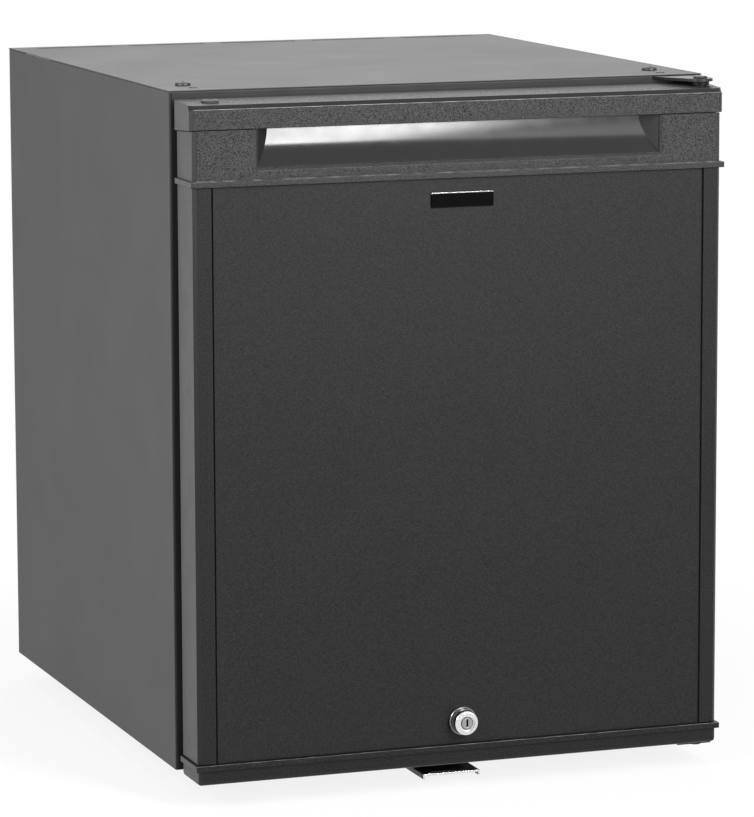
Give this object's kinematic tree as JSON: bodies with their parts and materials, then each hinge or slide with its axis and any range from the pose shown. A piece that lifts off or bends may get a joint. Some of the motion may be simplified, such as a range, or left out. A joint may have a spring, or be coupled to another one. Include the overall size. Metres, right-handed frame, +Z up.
{
  "type": "minibar fridge",
  "caption": "Small black absorption minibar with a foamed door hinged at the right, a recessed handle along its top, a cam lock at the bottom, door racks, shelves and a rear cooling unit.",
  "frame": {"origin": "on the floor, under the middle of the whole object's box", "axes": "+X to the right seen from the front, +Y to the rear, +Z up; the door faces -Y"},
  "size_m": [0.4, 0.4754, 0.5025],
  "materials": {
    "black_paint": "matt, fine texture",
    "door_plastic": "matt",
    "grained_plastic": "matt, grained",
    "panel_laminate": "satin, fine horizontal grain",
    "gloss_black": "high gloss",
    "white_liner": "satin",
    "clear_rack": "gloss",
    "foam": "matt",
    "rubber": "matt",
    "chrome": "polished",
    "bare_steel": "satin",
    "aluminium": "satin",
    "grey_steel": "matt",
    "badge_black": "gloss",
    "lens": "satin"
  },
  "bodies": {
    "cabinet": {"left_side_panel": "black_paint", "right_side_panel": "black_paint", "top_panel": "black_paint", "base_panel": "black_paint", "back_panel": "grey_steel", "insulation": "foam", "inner_liner": "white_liner", "rear_foot_left": "rubber", "rear_foot_right": "rubber", "top_screw_left": "black_paint", "top_screw_right": "black_paint", "shelf_lower": "white_liner", "shelf_upper": "white_liner", "thermostat_housing": "white_liner", "thermostat_sensor": "aluminium", "lamp_lens": "lens", "door_switch_body": "white_liner", "evaporator": "aluminium", "unit_rail_lower": "grey_steel", "unit_rail_upper": "grey_steel", "gas_heat_exchanger": "grey_steel", "condenser": "aluminium", "absorber_coil": "grey_steel", "absorber_vessel": "grey_steel", "boiler_casing": "grey_steel", "boiler_pipe": "grey_steel", "heater_element": "bare_steel", "control_box": "grey_steel", "cord_inlet": "rubber", "lock_keeper": "black_paint", "top_hinge_plate": "black_paint", "top_hinge_pin": "bare_steel", "bottom_hinge_plate": "black_paint", "bottom_hinge_pin": "bare_steel"},
    "door": {"door_core": "foam", "door_front_panel": "panel_laminate", "badge_plate": "badge_black", "door_trim_left": "door_plastic", "door_trim_right": "door_plastic", "door_bottom_cap": "door_plastic", "door_handle_trim": "grained_plastic", "handle_scoop": "gloss_black", "door_top_cap": "grained_plastic", "door_inner_panel": "white_liner", "door_gasket": "rubber", "lock_barrel": "chrome", "lock_nut": "bare_steel", "top_hinge_bush": "grey_steel", "bottom_hinge_bush": "grey_steel", "spare_hinge_plug": "door_plastic"},
    "lock_cam_unit": {"lock_plug": "chrome", "lock_cam": "bare_steel"},
    "rack_lower": {"door_rack_lower": "clear_rack"},
    "rack_middle": {"door_rack_middle": "clear_rack"},
    "rack_upper": {"door_rack_upper": "clear_rack"},
    "thermostat_dial": {"thermostat_knob": "white_liner"},
    "switch_plunger": {"door_switch_plunger": "white_liner"},
    "levelling_foot_left": {"front_foot_left": "rubber"},
    "levelling_foot_right": {"front_foot_right": "rubber"}
  },
  "joints": [
    {"name": "door_hinge", "type": "hinge", "parent": "cabinet", "child": "door", "pos_m": [0.188, -0.20945, 0.26], "axis": [0, 0, 1], "range_deg": [0, 120]},
    {"name": "lock_turn", "type": "hinge", "parent": "door", "child": "lock_cam_unit", "pos_m": [0, -0.23775, 0.0495], "axis": [0, -1, 0], "range_deg": [0, 90]},
    {"name": "thermostat_turn", "type": "hinge", "parent": "cabinet", "child": "thermostat_dial", "pos_m": [0.1247, -0.13075, 0.4415], "axis": [0, -1, 0], "range_deg": [0, 270]},
    {"name": "switch_press", "type": "slide", "parent": "cabinet", "child": "switch_plunger", "axis": [0, -1, 0], "range_m": [0, 0.0035]},
    {"name": "foot_left_level", "type": "slide", "parent": "cabinet", "child": "levelling_foot_left", "axis": [0, 0, -1], "range_m": [0, 0.01]},
    {"name": "foot_right_level", "type": "slide", "parent": "cabinet", "child": "levelling_foot_right", "axis": [0, 0, -1], "range_m": [0, 0.01]},
    {"name": "rack_lower_lift", "type": "slide", "parent": "door", "child": "rack_lower", "axis": [0, 0, 1], "range_m": [0, 0.012]},
    {"name": "rack_middle_lift", "type": "slide", "parent": "door", "child": "rack_middle", "axis": [0, 0, 1], "range_m": [0, 0.012]},
    {"name": "rack_upper_lift", "type": "slide", "parent": "door", "child": "rack_upper", "axis": [0, 0, 1], "range_m": [0, 0.012]}
  ],
  "couplings": [
    {"joint": "switch_press", "follows": "door_hinge", "m_per_rad": 0.00167}
  ]
}
